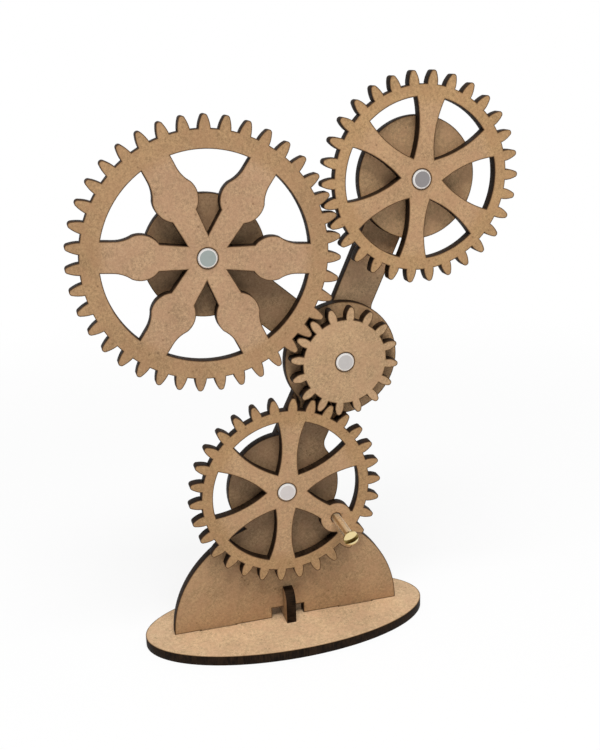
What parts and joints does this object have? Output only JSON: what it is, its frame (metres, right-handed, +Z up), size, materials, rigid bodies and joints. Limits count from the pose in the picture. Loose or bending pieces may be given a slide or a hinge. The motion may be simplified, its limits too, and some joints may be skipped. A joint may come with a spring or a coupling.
{
  "type": "wooden crank gear toy",
  "caption": "Free-standing fibreboard toy: meshing flat gears on an upright frame with an oval base, turned by a screw crank on the lowest gear.",
  "frame": {"origin": "middle of the base plate's underside, on the floor", "axes": "+Z up; +Y from the gears towards the back of the frame; X along the long axis of the oval base"},
  "size_m": [0.1389, 0.0446, 0.1789],
  "materials": {
    "gear_board": "sanded fibreboard faces with dark laser-cut edges",
    "frame_board": "sanded fibreboard faces with dark laser-cut edges",
    "base_board": "sanded fibreboard faces with dark laser-cut edges",
    "steel": "turned steel with ground ends",
    "brass": "bright rolled brass"
  },
  "bodies": {
    "stand": {"base_plate": "base_board", "front_frame": "frame_board", "rear_arm": "frame_board", "upper_spacer": "frame_board", "cross_brace": "frame_board", "drive_axle": "steel", "idler_axle": "steel", "large_axle": "steel", "upper_axle": "steel"},
    "drive_wheel": {"drive_gear": "gear_board", "crank_screw": "brass"},
    "idler_wheel": {"idler_gear": "gear_board"},
    "large_wheel": {"large_gear": "gear_board"},
    "upper_wheel": {"upper_gear": "gear_board"}
  },
  "joints": [
    {"name": "drive_turn", "type": "hinge", "parent": "stand", "child": "drive_wheel", "pos_m": [0, 0, 0.0508], "axis": [0, 1, 0], "continuous": true},
    {"name": "idler_turn", "type": "hinge", "parent": "stand", "child": "idler_wheel", "pos_m": [0.02006, 0, 0.0923], "axis": [0, 1, 0], "continuous": true},
    {"name": "large_turn", "type": "hinge", "parent": "stand", "child": "large_wheel", "pos_m": [-0.02146, 0, 0.12853], "axis": [0, 1, 0], "continuous": true},
    {"name": "upper_turn", "type": "hinge", "parent": "stand", "child": "upper_wheel", "pos_m": [0.04503, 0, 0.14734], "axis": [0, 1, 0], "continuous": true}
  ],
  "couplings": [
    {"joint": "idler_turn", "follows": "drive_turn", "ratio": -1.875},
    {"joint": "large_turn", "follows": "drive_turn", "ratio": 0.76923},
    {"joint": "upper_turn", "follows": "drive_turn", "ratio": -1}
  ]
}
